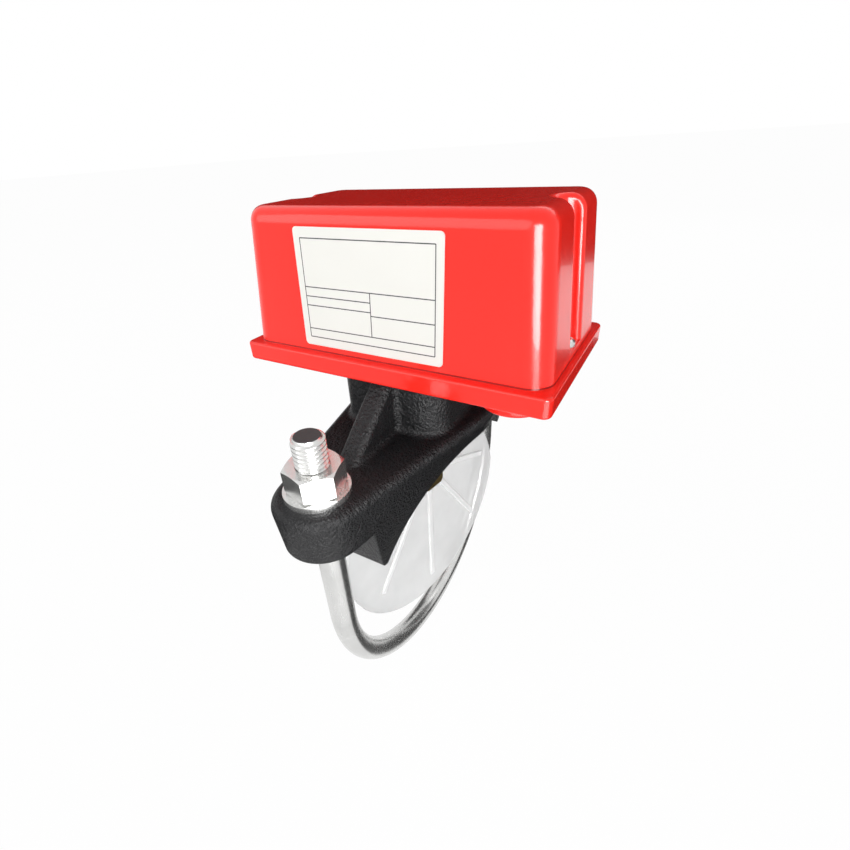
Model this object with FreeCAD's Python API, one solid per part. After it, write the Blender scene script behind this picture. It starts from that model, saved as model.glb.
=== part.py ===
import FreeCAD, Part
import math
import os

os.makedirs("parts", exist_ok=True)
Vector = FreeCAD.Vector

# Sizes are in millimetres. The origin is the crown of the pipe seat on the axis of the stem,
# +X is the way the water flows and +Z is up through the neck.

# Clearances
running_fit = 0.05
screw_fit = 0.1
bolt_fit = 1.0
gap = 0.3
overrun = 1.0

# Pipe, saddle casting and pipe gasket
pipe_diameter = 168.3
pipe_wall = 7.1
neck_height = 38.0
neck_half_x = 28.0
neck_half_y = 37.0
neck_corner = 12.0
crown_radius = 40.5
ear_radius = 20.0
ear_depth = 23.0
plate_top = 11.0
plate_round = 4.0
foot_depth = 41.0
foot_toe = 3.2
foot_round = 3.0
foot_shoulder = 8.0
flank_draft = 17.5
ear_draft = 5.0
gusset_thickness = 11.0
gusset_round = 2.5
gusset_top_inset = 5.5
gusset_toe_inset = 18.0
cast_fillet = 3.0
bore_radius = 13.5
counterbore_radius = 17.5
counterbore_depth = 16.0
gasket_inner = 18.0
gasket_outer = 30.0
gasket_seat = 2.5
gasket_proud = 0.8

# U-bolt, washers and nuts
ubolt_diameter = 12.6
pipe_clearance = 1.1
ubolt_bend_height = -67.0
ubolt_top = 38.0
thread_diameter = 14.0
thread_length = 52.0
thread_chamfer = 1.2
washer_radius = 14.0
washer_thickness = 2.5
nut_flats = 22.0
nut_height = 11.0
nut_turn = -13.0

# Base tray, its gasket, conduit hub, plug and screws
base_length = 156.0
base_width = 90.0
base_height = 9.0
base_corner = 3.5
base_round = 1.2
floor_thickness = 4.5
pocket_inset = 5.0
seal_outer_inset = 0.6
seal_inner_inset = 3.8
seal_depth = 1.5
conduit_radius = 11.0
conduit_end_inset = 22.0
conduit_front_inset = 26.5
conduit_wall = 4.0
conduit_drop = 9.5
hub_spigot_wall = 1.2
conduit_round = 1.5
plug_head = 2.0
plug_lip = 2.5
plug_wall = 3.0
plug_setback = 0.5
floor_hole = 14.0
base_screw_x = 18.0
base_screw_y = 23.0
base_screw_radius = 2.9
base_screw_length = 14.0
base_screw_head = 5.0
base_screw_rise = 3.6
bracket_screw_radius = 2.0
bracket_screw_head = 3.6
bracket_screw_rise = 2.6
ground_x = 4.0
ground_back_inset = 17.0
ground_flats = 8.0
ground_collar_radius = 5.0
ground_collar = 1.2
ground_rise = 5.0

# Cover, end grooves, cover screws and label
cover_height = 61.5
cover_end_step = 2.5
cover_side_step = 4.0
cover_corner = 10.0
cover_end_draft = 6.0
cover_side_draft = 4.2
cover_edge_radius = 7.0
cover_wall = 2.5
notch_radius = 8.0
notch_reach = 2.0
notch_edge_radius = 2.5
tab_height = 3.5
cover_screw_radius = 2.0
cover_screw_head = 4.2
cover_screw_rise = 3.2
cover_screw_depth = 7.0
cover_screw_setback = 3.0
label_length = 72.0
label_height = 51.0
label_centre = -3.8
label_foot = 3.3
label_corner = 1.8
label_thickness = 0.3

# Pivot, stem seal and trip stem
pivot_drop = 10.0
pivot_radius = 2.0
pivot_overhang = 1.2
pivot_ear_inner = 7.2
pivot_ear_outer = 11.0
pivot_ear_half = 5.5
ring_height = 4.0
ring_bore = 9.5
seal_thickness = 2.5
seal_fold = 3.0
seal_lip = 2.0
seal_skin = 1.5
retainer_wall = 3.5
stem_radius = 3.0
stem_lower_radius = 4.0
stem_taper = 7.0
stem_rise = 10.0
stem_chamfer = 1.0
hub_radius = 6.0
pad_depth = 4.2
pad_half = 5.0
sleeve_radius = 4.2
sleeve_half = 6.0

# Vane, clamp and screws
vane_gap = 5.05
vane_lift = 5.0
vane_thickness = 1.6
vane_turn = -11.0
vane_crown_gap = 4.0
rib_hub = -38.0
rib_start = 17.0
rib_half = 1.9
rib_height = 1.3
rib_round = 0.8
rib_angles = (-70, -35, 0, 35, 70)
rib_margin = 13.0
paddle_half = 8.0
paddle_top = -14.0
paddle_foot = -50.0
paddle_thickness = 5.0
paddle_corner = 3.0
clamp_thickness = 3.0
clamp_setback = 4.0
vane_screw_radius = 2.0
vane_screw_head = 3.8
vane_screw_rise = 2.6
vane_screw_inset = 8.5
vane_screw_tip = 1.5

# Switches, their bracket and the return spring
sheet = 2.0
switch_front = -23.6
switch_width = 17.0
switch_round = 1.0
switch_crest = 1.5
barrier_thickness = 2.0
barrier_rise = 3.0
barrier_reach = 8.0
terminal_clearance = 2.4
terminal_depth = 10.5
terminal_height = 12.0
terminal_lift = 16.0
terminal_step = 4.0
terminal_slot_half = 2.3
terminal_back = 1.5
terminal_screw_radius = 1.5
terminal_screw_head = 2.2
terminal_screw_rise = 1.8
switch_wall_drop = 11.0
switch_wall_inset = 3.0
switch_ear = 4.5
through_radius = 1.6
through_head = 3.0
through_rise = 2.2
through_nut_flats = 5.5
through_nut_height = 2.4
through_tail = 4.0
through_inset = 6.0
through_drop = 4.0
hinge_reach = 3.4
hinge_lift = 7.5
hinge_radius = 0.8
hinge_ear = 1.6
hinge_ear_gap = 0.2
hinge_ear_half = 2.5
hinge_ear_tip = 1.8
knuckle_radius = 1.7
lever_thickness = 0.8
lever_half = 2.5
lever_set = 2.0
lever_reach = 14.0
button_radius = 1.6
button_lift = 14.0
button_gap = 0.4
button_root = 3.0
button_pocket = 2.3
spring_tab = -20.0
spring_tab_half = 5.0
spring_tab_rise = 6.0
spring_level = 52.0
return_spring_radius = 3.6
return_spring_wire = 1.0
return_spring_turns = 6

# Pneumatic retard, its bracket, dial and trip yoke
retard_radius = 16.0
retard_face = 18.0
retard_nose = 2.0
retard_nose_length = 4.0
retard_front_wall = 6.0
chamber_radius = 12.2
cap_thickness = 3.0
cap_chamfer = 1.0
cap_clearance = 4.0
plunger_radius = 4.0
plunger_head = 6.0
plunger_head_length = 2.5
plunger_chamfer = 1.0
piston_thickness = 3.0
retard_spring_length = 8.0
retard_spring_radius = 7.0
retard_spring_wire = 1.0
retard_spring_turns = 3
retard_screw_pitch = 9.0
retard_screw_radius = 1.5
retard_screw_head = 2.7
retard_screw_rise = 1.8
retard_screw_length = 6.5
retard_screw_room = 0.5
stand_half = 14.0
stand_rise = 14.0
stand_corner = 5.0
stand_bore_room = 1.2
stand_foot = 22.0
stand_screw_reach = 16.0
stand_screw_y = 10.0
dial_inset = 15.0
dial_boss = 8.0
dial_rise = 3.0
dial_radius = 9.0
dial_height = 6.0
dial_chamfer = 1.0
dial_shaft = 2.5
dial_shaft_floor = 1.8
dial_flutes = 18
dial_flute_radius = 1.0
dial_flute_reach = 0.5
pointer_height = 1.5
pointer_half = 1.1
pointer_inset = 1.5
dial_clearance = 1.5
yoke_plate = 8.0
yoke_half = 17.0
yoke_drop = 7.0
yoke_arm = 2.0
yoke_reach = 3.0
yoke_bar = 2.4
yoke_bar_height = 6.0
yoke_bar_setback = 2.0

# Levels and places worked out from the sizes above
pipe_radius = pipe_diameter / 2
ubolt_radius = ubolt_diameter / 2
thread_radius = thread_diameter / 2
ubolt_offset = (pipe_diameter + ubolt_diameter + pipe_clearance) / 2
vane_radius = pipe_radius - pipe_wall - vane_gap
vane_centre = ubolt_bend_height - vane_lift
vane_top = -pipe_wall - vane_crown_gap
floor_top = neck_height + floor_thickness
base_top = neck_height + base_height
cover_top = base_top + cover_height
cover_half_x = base_length / 2 - cover_end_step
cover_half_y = base_width / 2 - cover_side_step
notch_x = cover_half_x - notch_reach
cover_screw_x = notch_x - cover_screw_setback
conduit_x = base_length / 2 - conduit_end_inset
conduit_y = conduit_front_inset - base_width / 2
conduit_foot = neck_height - conduit_drop
hub_spigot_radius = conduit_radius + hub_spigot_wall
ground_y = base_width / 2 - ground_back_inset
base_screw_tip = neck_height - base_screw_length
counterbore_floor = neck_height - counterbore_depth
pivot_height = counterbore_floor - pivot_drop
bracket_floor = floor_top + sheet
dial_stack = dial_rise + dial_height + pointer_height + dial_clearance
retard_height = cover_top - cover_wall - dial_stack - retard_radius
stem_top = retard_height + stem_rise
lever_top = retard_height + lever_reach
switch_top = lever_top + switch_crest
terminal_foot = bracket_floor + terminal_lift
terminal_top = terminal_foot + terminal_height


def groove_wall(height):
    """Place of the cover's inner face behind an end groove, at one height."""
    rise = (height - base_top) / cover_height
    return notch_x - notch_radius - cover_wall - cover_end_draft * rise


switch_back = terminal_depth + terminal_clearance - groove_wall(terminal_top)
switch_foot_x = (switch_front + switch_back) / 2
retard_end = groove_wall(retard_height) - cap_thickness - cap_clearance
dial_x = retard_end - dial_inset
switch_inner = barrier_thickness / 2
switch_outer = switch_inner + switch_width
bracket_half = switch_outer + sheet
switch_foot_y = bracket_half + switch_ear
base_screw_places = []
for x in (-base_screw_x, base_screw_x):
    base_screw_places.extend(((x, -base_screw_y), (x, base_screw_y)))
stand_screw_x = retard_face + stand_screw_reach
bracket_screw_places = []
for x, y in ((stand_screw_x, stand_screw_y), (switch_foot_x, switch_foot_y)):
    bracket_screw_places.extend(((x, -y), (x, y)))


def box(x0, x1, y0, y1, z0, z1):
    """Upright box between two opposite corners."""
    return Part.makeBox(x1 - x0, y1 - y0, z1 - z0, Vector(x0, y0, z0))


def upright(radius, x, y, z0, z1):
    """Cylinder along Z."""
    return Part.makeCylinder(radius, z1 - z0, Vector(x, y, z0))


def along_x(radius, y, z, x0, x1):
    """Cylinder along X."""
    return Part.makeCylinder(radius, x1 - x0, Vector(x0, y, z), Vector(1, 0, 0))


def along_y(radius, x, z, y0, y1):
    """Cylinder along Y."""
    return Part.makeCylinder(radius, y1 - y0, Vector(x, y0, z), Vector(0, 1, 0))


def turned_z(profile, x=0.0, y=0.0):
    """Solid of revolution about an upright axis, from (radius, height) points."""
    points = [Vector(x + radius, y, height) for radius, height in profile]
    face = Part.Face(Part.makePolygon(points + points[:1]))
    return face.revolve(Vector(x, y, 0), Vector(0, 0, 1), 360)


def turned_x(profile, y=0.0, z=0.0):
    """Solid of revolution about a level axis, from (place along X, radius) points."""
    points = [Vector(place, y, z + radius) for place, radius in profile]
    face = Part.Face(Part.makePolygon(points + points[:1]))
    return face.revolve(Vector(0, y, z), Vector(1, 0, 0), 360)


def prism_yz(profile, x0, x1):
    """Flat-sided solid with a (y, z) outline, running along X."""
    points = [Vector(x0, y, z) for y, z in profile]
    face = Part.Face(Part.makePolygon(points + points[:1]))
    return face.extrude(Vector(x1 - x0, 0, 0))


def joined(shapes):
    """One solid from overlapping ones."""
    return shapes[0].fuse(shapes[1:]).removeSplitter()


def without(shape, cutters):
    """A shape with each of the cutters taken out of it."""
    for cutter in cutters:
        shape = shape.cut(cutter)
    return shape


def rounded_rectangle(half_x, half_y, radius, height):
    """Level wire of a rectangle with round corners."""
    corners = (
        (half_x - radius, half_y - radius, 0),
        (radius - half_x, half_y - radius, 90),
        (radius - half_x, radius - half_y, 180),
        (half_x - radius, radius - half_y, 270),
    )
    rounds = []
    for x, y, start in corners:
        points = []
        for turn in (0, 45, 90):
            angle = math.radians(start + turn)
            points.append(Vector(x + radius * math.cos(angle), y + radius * math.sin(angle), height))
        rounds.append(points)
    return ring_of_arcs(rounds)


def ring_of_arcs(rounds):
    """Closed wire of three-point arcs joined by straight lines."""
    edges = []
    for points, following in zip(rounds, rounds[1:] + rounds[:1]):
        edges.append(Part.Arc(*points).toShape())
        edges.append(Part.makeLine(points[-1], following[0]))
    return Part.Wire(edges)


def rounded_prism(half_x, half_y, radius, z0, z1):
    """Upright block with round corners."""
    face = Part.Face(rounded_rectangle(half_x, half_y, radius, z0))
    return face.extrude(Vector(0, 0, z1 - z0))


def edges_at(shape, height):
    """Edges of a shape that lie level at one height."""
    found = []
    for edge in shape.Edges:
        bounds = edge.BoundBox
        if abs(bounds.ZMin - height) < 1e-4 and abs(bounds.ZMax - height) < 1e-4:
            found.append(edge)
    return found


def edges_along_x(shape):
    """Straight edges of a shape that run along X."""
    return [edge for edge in shape.Edges if edge.BoundBox.XLength > edge.Length - 1e-4]


def coil(radius, wire, length, turns, x0, z):
    """Round-wire spring along X that fills a length, as a ruled loft through eight-sided sections."""
    steps = 12 * turns
    sections = []
    for step in range(steps + 1):
        angle = 2 * math.pi * step / 12
        place = x0 + wire / 2 + (length - wire) * step / steps
        points = []
        for side in range(8):
            around = 2 * math.pi * side / 8
            reach = radius + wire / 2 * math.cos(around)
            level = z + reach * math.cos(angle)
            points.append(Vector(place + wire / 2 * math.sin(around), reach * math.sin(angle), level))
        sections.append(Part.makePolygon(points + points[:1]))
    return Part.makeLoft(sections, True, True)


def pan_screw(radius, head_radius, head_height, seat, tip, x, y):
    """Upright screw with a domed head on its seat."""
    profile = (
        (0, tip),
        (radius, tip),
        (radius, seat),
        (head_radius, seat),
        (head_radius, seat + head_height / 2),
        (head_radius * 3 / 4, seat + head_height),
        (0, seat + head_height),
    )
    return turned_z(profile, x, y)


def level_screw(radius, head_radius, head_height, seat, tip, y, z):
    """Screw along X with its domed head on the -X side of its seat."""
    profile = (
        (seat - head_height, 0),
        (seat - head_height, head_radius * 2 / 3),
        (seat - head_height / 2, head_radius),
        (seat, head_radius),
        (seat, radius),
        (tip, radius),
        (tip, 0),
    )
    return turned_x(profile, y, z)


def hexagon(across_flats, z0, z1, x, y, turn=0.0):
    """Upright hexagonal bar with its corners turned off at the top and bottom."""
    corner = across_flats / math.sqrt(3)
    points = []
    for step in range(6):
        angle = math.radians(60 * step + turn)
        points.append(Vector(x + corner * math.cos(angle), y + corner * math.sin(angle), z0))
    bar = Part.Face(Part.makePolygon(points + points[:1])).extrude(Vector(0, 0, z1 - z0))
    flat = across_flats / 2
    ease = (corner - flat) / 2
    profile = ((0, z0), (flat, z0), (corner, z0 + ease), (corner, z1 - ease), (flat, z1), (0, z1))
    return bar.common(turned_z(profile, x, y))


def mirrored_y(shape):
    """The same piece on the other side of the pipe axis."""
    return shape.mirror(Vector(0, 0, 0), Vector(0, 1, 0))


def on_stem(shape):
    """A shape turned about the stem to where the vane is set."""
    shape.rotate(Vector(0, 0, 0), Vector(0, 0, 1), vane_turn)
    return shape


def save(name, shape):
    """One file per node."""
    shape.exportStep("parts/%s.step" % name)


def save_group(name, shapes):
    """Identical loose pieces kept as one node."""
    save(name, Part.makeCompound(shapes))


# Saddle casting: ears, skirt, pipe seat, neck and gusset webs
def saddle_outline(middle, ear, height):
    """Level wire round the crown circle and the two ears, with straight flanks."""
    lean = math.asin((middle - ear) / ubolt_offset)
    cosine = math.cos(lean)
    sine = math.sin(lean)

    def at(x, y):
        return Vector(x, y, height)

    right = (at(middle * cosine, -middle * sine), at(middle, 0), at(middle * cosine, middle * sine))
    left = tuple(at(-point.x, -point.y) for point in right)
    far_y = ubolt_offset + ear * sine
    far = (at(ear * cosine, far_y), at(0, ubolt_offset + ear), at(-ear * cosine, far_y))
    near = tuple(at(-point.x, -point.y) for point in far)
    return ring_of_arcs([right, far, left, near])


def make_gusset():
    """Web from the neck down to one ear, with its sloping edges rounded."""
    top = base_width / 2 - gusset_top_inset
    toe = ubolt_offset - gusset_toe_inset
    web = prism_yz(
        ((0, 0), (toe, 0), (toe, plate_top), (top, neck_height), (0, neck_height)),
        -gusset_thickness / 2,
        gusset_thickness / 2,
    )
    slopes = []
    for edge in web.Edges:
        if edge.BoundBox.YLength > 1 and edge.BoundBox.ZLength > 1:
            slopes.append(edge)
    return web.makeFillet(gusset_round, slopes)


def hollow_corners(casting):
    """Edges where the neck and its webs meet the plate and one another."""
    web_side = gusset_thickness / 2
    found = []
    for edge in casting.Edges:
        bounds = edge.BoundBox
        reach_x = max(abs(bounds.XMin), abs(bounds.XMax))
        reach_y = max(abs(bounds.YMin), abs(bounds.YMax))
        level = bounds.ZLength < 1e-4 and abs(bounds.ZMin - plate_top) < 1e-4
        on_neck = reach_x < neck_half_x + 1e-3 and reach_y < neck_half_y + 1e-3
        on_web = reach_x < web_side + 1e-3
        upright_edge = bounds.XLength + bounds.YLength < 1e-3 and bounds.ZMin > plate_top - 1e-3
        if level and (on_neck or on_web) or upright_edge and abs(reach_x - web_side) < 1e-3:
            found.append(edge)
    return found


def make_saddle():
    depth = plate_top + foot_depth
    crown_foot = crown_radius - depth * math.tan(math.radians(flank_draft))
    ear_foot = ear_radius - depth * math.tan(math.radians(ear_draft))
    top = saddle_outline(crown_radius, ear_radius, plate_top)
    foot = saddle_outline(crown_foot, ear_foot, -foot_depth)
    skirt = Part.makeLoft([top, foot], True, True)
    skirt = skirt.makeFillet(plate_round, edges_at(skirt, plate_top))
    ear_floor = plate_top - ear_depth
    far = ubolt_offset + ear_radius + overrun
    shoulder = ubolt_offset - foot_shoulder
    toe = math.sqrt(pipe_radius**2 - (pipe_radius - foot_depth) ** 2) + foot_toe
    half = ((far, plate_top), (far, ear_floor), (shoulder, ear_floor), (toe, -foot_depth))
    other_half = tuple((-y, z) for y, z in reversed(half))
    profile = prism_yz(half + other_half, -crown_radius, crown_radius)
    tips = [edge for edge in edges_at(profile, -foot_depth) if edge.BoundBox.XLength > overrun]
    body = skirt.common(profile.makeFillet(foot_round, tips))
    neck = rounded_prism(neck_half_x, neck_half_y, neck_corner, 0, neck_height)
    web = make_gusset()
    body = joined([body, neck, web, mirrored_y(web)])
    body = body.makeFillet(cast_fillet, hollow_corners(body))
    below = -neck_height
    above = neck_height + overrun
    recess = upright(gasket_outer + gap, 0, 0, below, gasket_seat)
    cuts = [
        along_x(pipe_radius, 0, -pipe_radius, -crown_radius - overrun, crown_radius + overrun),
        upright(bore_radius, 0, 0, below, above),
        upright(counterbore_radius, 0, 0, counterbore_floor, above),
        recess.cut(upright(gasket_inner - gap, 0, 0, below, gasket_seat)),
    ]
    for y in (-ubolt_offset, ubolt_offset):
        cuts.append(upright(thread_radius + bolt_fit, 0, y, below, plate_top + overrun))
    for x, y in base_screw_places:
        cuts.append(upright(base_screw_radius + screw_fit, x, y, base_screw_tip - overrun, above))
    return without(body, cuts)


save("saddle", make_saddle())

# Rubber gasket in the recess of the pipe seat, a little proud of it
gasket = upright(gasket_outer, 0, 0, -neck_height, gasket_seat)
gasket = gasket.cut(upright(gasket_inner, 0, 0, -neck_height, gasket_seat))
sealed_pipe = along_x(pipe_radius - gasket_proud, 0, -pipe_radius, -crown_radius, crown_radius)
save("pipe_gasket", gasket.cut(sealed_pipe))


# U-bolt, with rolled threads a little larger than its rod, washers and hexagon nuts
def make_ubolt():
    start = Vector(0, ubolt_offset, ubolt_bend_height)
    section = Part.Face(Part.Wire(Part.makeCircle(ubolt_radius, start)))
    pieces = [section.revolve(Vector(0, 0, ubolt_bend_height), Vector(-1, 0, 0), 180)]
    for y in (-ubolt_offset, ubolt_offset):
        thread = upright(thread_radius, 0, y, ubolt_top - thread_length, ubolt_top)
        pieces.append(thread.makeChamfer(thread_chamfer, edges_at(thread, ubolt_top)[:1]))
        pieces.append(upright(ubolt_radius, 0, y, ubolt_bend_height, ubolt_top - thread_length + overrun))
    return joined(pieces)


save("ubolt", make_ubolt())
nut_foot = plate_top + washer_thickness
nut_top = nut_foot + nut_height
washers = []
nuts = []
for y in (-ubolt_offset, ubolt_offset):
    washer = upright(washer_radius, 0, y, plate_top, nut_foot)
    washer_hole = upright(thread_radius + bolt_fit / 2, 0, y, plate_top - overrun, nut_foot + overrun)
    washers.append(washer.cut(washer_hole))
    nut_hole = upright(thread_radius + running_fit, 0, y, nut_foot - overrun, nut_top + overrun)
    nuts.append(hexagon(nut_flats, nut_foot, nut_top, 0, y, nut_turn).cut(nut_hole))
save_group("ubolt_washers", washers)
save_group("ubolt_nuts", nuts)


# Base tray and the screws that hold it to the neck
def notched_prism(inset, z0, z1):
    """Block with the cover's plan, drawn in by an inset and keeping clear of the end grooves."""
    block = rounded_prism(cover_half_x - inset, cover_half_y - inset, cover_corner - inset, z0, z1)
    reach = notch_radius + inset
    slots = []
    for end in (-1, 1):
        slots.append(upright(reach, end * notch_x, 0, z0, z1))
        near, far = sorted((end * notch_x, end * (cover_half_x + overrun)))
        slots.append(box(near, far, -reach, reach, z0, z1))
    return without(block, slots)


def make_base():
    block = rounded_prism(base_length / 2, base_width / 2, base_corner, neck_height, base_top)
    block = block.makeFillet(base_round, edges_at(block, base_top) + edges_at(block, neck_height))
    tray = block.cut(notched_prism(pocket_inset, floor_top, base_top + overrun))
    groove = notched_prism(seal_outer_inset, base_top - seal_depth, base_top + overrun)
    groove = groove.cut(notched_prism(seal_inner_inset, base_top - seal_depth, base_top + overrun))
    cuts = [groove, upright(floor_hole, 0, 0, neck_height - overrun, floor_top + overrun)]
    for end, radius in ((-1, conduit_radius), (1, hub_spigot_radius + running_fit)):
        entry = upright(radius, end * conduit_x, conduit_y, neck_height - overrun, base_top)
        tapped = upright(
            cover_screw_radius + screw_fit, end * cover_screw_x, 0, neck_height + overrun, base_top + overrun
        )
        cuts.extend((entry, tapped))
    for x, y in base_screw_places:
        cuts.append(upright(base_screw_radius + screw_fit, x, y, neck_height - overrun, base_top))
    for x, y in bracket_screw_places + [(ground_x, ground_y)]:
        cuts.append(upright(bracket_screw_radius + screw_fit, x, y, neck_height - overrun, base_top))
    return without(tray, cuts)


save("base", make_base())
base_screws = []
for x, y in base_screw_places:
    base_screws.append(
        pan_screw(base_screw_radius, base_screw_head, base_screw_rise, floor_top, base_screw_tip, x, y)
    )
save_group("base_screws", base_screws)

# Rubber gasket in the groove of the base rim
seal = notched_prism(seal_outer_inset + screw_fit, base_top - seal_depth, base_top)
save("cover_gasket", seal.cut(notched_prism(seal_inner_inset - screw_fit, base_top - seal_depth, base_top)))

# Conduit hub, let into the floor of the base from below up to its shoulder
hub_body = upright(conduit_radius + conduit_wall, conduit_x, conduit_y, conduit_foot, neck_height)
hub_body = hub_body.makeFillet(conduit_round, edges_at(hub_body, conduit_foot))
hub_spigot = upright(hub_spigot_radius, conduit_x, conduit_y, conduit_foot + conduit_round, floor_top)
hub_bore = upright(conduit_radius, conduit_x, conduit_y, conduit_foot - overrun, floor_top + overrun)
save("conduit_hub", joined([hub_body, hub_spigot]).cut(hub_bore))

# Hollow plug with a low head that closes the spare conduit entry
plug_radius = conduit_radius - running_fit
plug_profile = (
    (0, neck_height - plug_head),
    (conduit_radius + plug_lip - plug_head / 3, neck_height - plug_head),
    (conduit_radius + plug_lip, neck_height - plug_head * 2 / 3),
    (conduit_radius + plug_lip, neck_height),
    (plug_radius, neck_height),
    (plug_radius, floor_top - plug_setback),
    (conduit_radius - plug_wall, floor_top - plug_setback),
    (conduit_radius - plug_wall, neck_height),
    (0, neck_height),
)
save("conduit_plug", turned_z(plug_profile, -conduit_x, conduit_y))


# Cover: drafted shell with a screw groove in each end
def notch_cutter(extra, z0, z1):
    """Slots for the end grooves, grown sideways by a margin and following the drafted ends."""
    reach = notch_radius + extra
    outside = cover_half_x + overrun
    cutters = []
    for end in (-1, 1):
        wires = []
        for height in (z0, z1):
            centre = notch_x - cover_end_draft * (height - base_top) / cover_height
            start = Vector(end * centre, reach, height)
            bottom = Vector(end * (centre - reach), 0, height)
            finish = Vector(end * centre, -reach, height)
            corner = Vector(end * outside, -reach, height)
            other_corner = Vector(end * outside, reach, height)
            edges = [
                Part.Arc(start, bottom, finish).toShape(),
                Part.makeLine(finish, corner),
                Part.makeLine(corner, other_corner),
                Part.makeLine(other_corner, start),
            ]
            wires.append(Part.Wire(edges))
        cutters.append(Part.makeLoft(wires, True, True))
    return cutters


def cover_block(inset):
    """Drafted block with a round top edge, drawn in by an inset all over but the foot."""
    radius = cover_corner - inset
    top = cover_top - inset
    rise = (top - base_top) / cover_height
    foot = rounded_rectangle(cover_half_x - inset, cover_half_y - inset, radius, base_top)
    crest = rounded_rectangle(
        cover_half_x - inset - cover_end_draft * rise,
        cover_half_y - inset - cover_side_draft * rise,
        radius,
        top,
    )
    block = Part.makeLoft([foot, crest], True, True)
    return block.makeFillet(cover_edge_radius - inset, edges_at(block, top))


def make_cover():
    tab_top = base_top + tab_height
    outer = without(cover_block(0), notch_cutter(0, tab_top, cover_top + overrun))
    lips = []
    for edge in outer.Edges:
        middle = edge.valueAt((edge.FirstParameter + edge.LastParameter) / 2)
        on_lip = abs(abs(middle.y) - notch_radius) < 1e-3
        if on_lip and edge.BoundBox.ZMax > tab_top + overrun:
            lips.append(edge)
    outer = outer.makeFillet(notch_edge_radius, lips)
    inner = without(
        cover_block(cover_wall), notch_cutter(cover_wall, base_top - overrun, cover_top + overrun)
    )
    holes = []
    for end in (-1, 1):
        hole_radius = cover_screw_radius + 2 * screw_fit
        holes.append(upright(hole_radius, end * cover_screw_x, 0, base_top - overrun, tab_top + overrun))
    return without(outer.cut(inner), holes).Solids[0]


save("cover", make_cover())
cover_screws = []
for end in (-1, 1):
    cover_screws.append(
        pan_screw(
            cover_screw_radius, cover_screw_head, cover_screw_rise, base_top + tab_height,
            base_top - cover_screw_depth, end * cover_screw_x, 0,
        )
    )
save_group("cover_screws", cover_screws)

# Blank label on the drafted front face
label_lean = math.atan(cover_side_draft / cover_height)
label_outline = rounded_rectangle(label_length / 2, label_height / 2, label_corner, 0)
label = Part.Face(label_outline).extrude(Vector(0, 0, label_thickness))
label.rotate(Vector(0, 0, 0), Vector(1, 0, 0), 90 - math.degrees(label_lean))
label_level = label_foot + label_height / 2 * math.cos(label_lean)
label_face = label_level * math.tan(label_lean) - cover_half_y
label.translate(Vector(label_centre, label_face, base_top + label_level))
save("label_plate", label)

# Pivot bracket and pin, stem seal and retainer inside the neck
ring_top = counterbore_floor + ring_height
fitted_radius = counterbore_radius - running_fit
bracket_pieces = [upright(fitted_radius, 0, 0, counterbore_floor, ring_top)]
for side in (-1, 1):
    near, far = sorted((side * pivot_ear_inner, side * pivot_ear_outer))
    bracket_pieces.append(
        box(-pivot_ear_half, pivot_ear_half, near, far, pivot_height - pivot_ear_half, ring_top)
    )
opening = box(
    -ring_bore, ring_bore, -pivot_ear_inner, pivot_ear_inner, counterbore_floor - overrun, ring_top + overrun
)
pin_hole = along_y(
    pivot_radius + running_fit / 2, 0, pivot_height, -pivot_ear_outer - overrun, pivot_ear_outer + overrun
)
save("pivot_bracket", without(joined(bracket_pieces), [opening, pin_hole]))
pin_end = pivot_ear_outer + pivot_overhang
save("pivot_pin", along_y(pivot_radius, 0, pivot_height, -pin_end, pin_end))

fold_inner = stem_radius + 2 * seal_lip
fold_outer = fold_inner + seal_lip
fold_top = ring_top + seal_fold
seal_profile = (
    (stem_radius + running_fit, ring_top),
    (stem_radius + seal_lip, ring_top),
    (fold_inner - seal_skin / 3, fold_top),
    (fold_outer, fold_top),
    (fold_outer + seal_skin, ring_top),
    (fitted_radius, ring_top),
    (fitted_radius, ring_top + seal_thickness),
    (fold_outer + seal_thickness, ring_top + seal_thickness),
    (fold_outer + seal_skin / 2, fold_top + seal_skin),
    (fold_inner - seal_skin, fold_top + seal_skin),
    (stem_radius + seal_skin, fold_top + 2 * seal_skin),
    (stem_radius + running_fit, fold_top + 2 * seal_skin),
)
save("stem_seal", turned_z(seal_profile))
retainer = upright(fitted_radius, 0, 0, ring_top + seal_thickness, neck_height)
retainer_bore = upright(counterbore_radius - retainer_wall, 0, 0, ring_top, neck_height + overrun)
save("seal_retainer", retainer.cut(retainer_bore))

# Trip stem with its hub, spring pad and flat paddle end, and its contact sleeve
vane_face = vane_thickness / 2
paddle_back = vane_face + paddle_thickness
stem_foot = paddle_top - clamp_setback
stem_profile = (
    (0, stem_foot),
    (stem_lower_radius, stem_foot),
    (stem_lower_radius, pivot_height),
    (stem_radius, pivot_height + stem_taper),
    (stem_radius, stem_top - stem_chamfer),
    (stem_radius - stem_chamfer, stem_top),
    (0, stem_top),
)
hub_half = pivot_ear_inner - gap
paddle = box(vane_face, paddle_back, -paddle_half, paddle_half, paddle_foot, paddle_top)
paddle = on_stem(paddle.makeFillet(paddle_corner, edges_along_x(paddle)))
stem_pieces = [
    turned_z(stem_profile),
    along_y(hub_radius, 0, pivot_height, -hub_half, hub_half),
    paddle,
    box(-pad_depth, 0, -pad_half, pad_half, spring_level - pad_half, spring_level + pad_half),
]
vane_room = box(-paddle_half, vane_face, -paddle_half, paddle_half, paddle_foot - overrun, vane_top + gap)
stem_cuts = [
    on_stem(vane_room),
    along_y(pivot_radius + running_fit, 0, pivot_height, -pivot_ear_inner, pivot_ear_inner),
]
vane_screw_levels = (paddle_foot + vane_screw_inset, paddle_top - vane_screw_inset)
for level in vane_screw_levels:
    stem_cuts.append(on_stem(along_x(vane_screw_radius + running_fit, 0, level, 0, paddle_back + overrun)))
save("trip_stem", without(joined(stem_pieces), stem_cuts))
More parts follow.
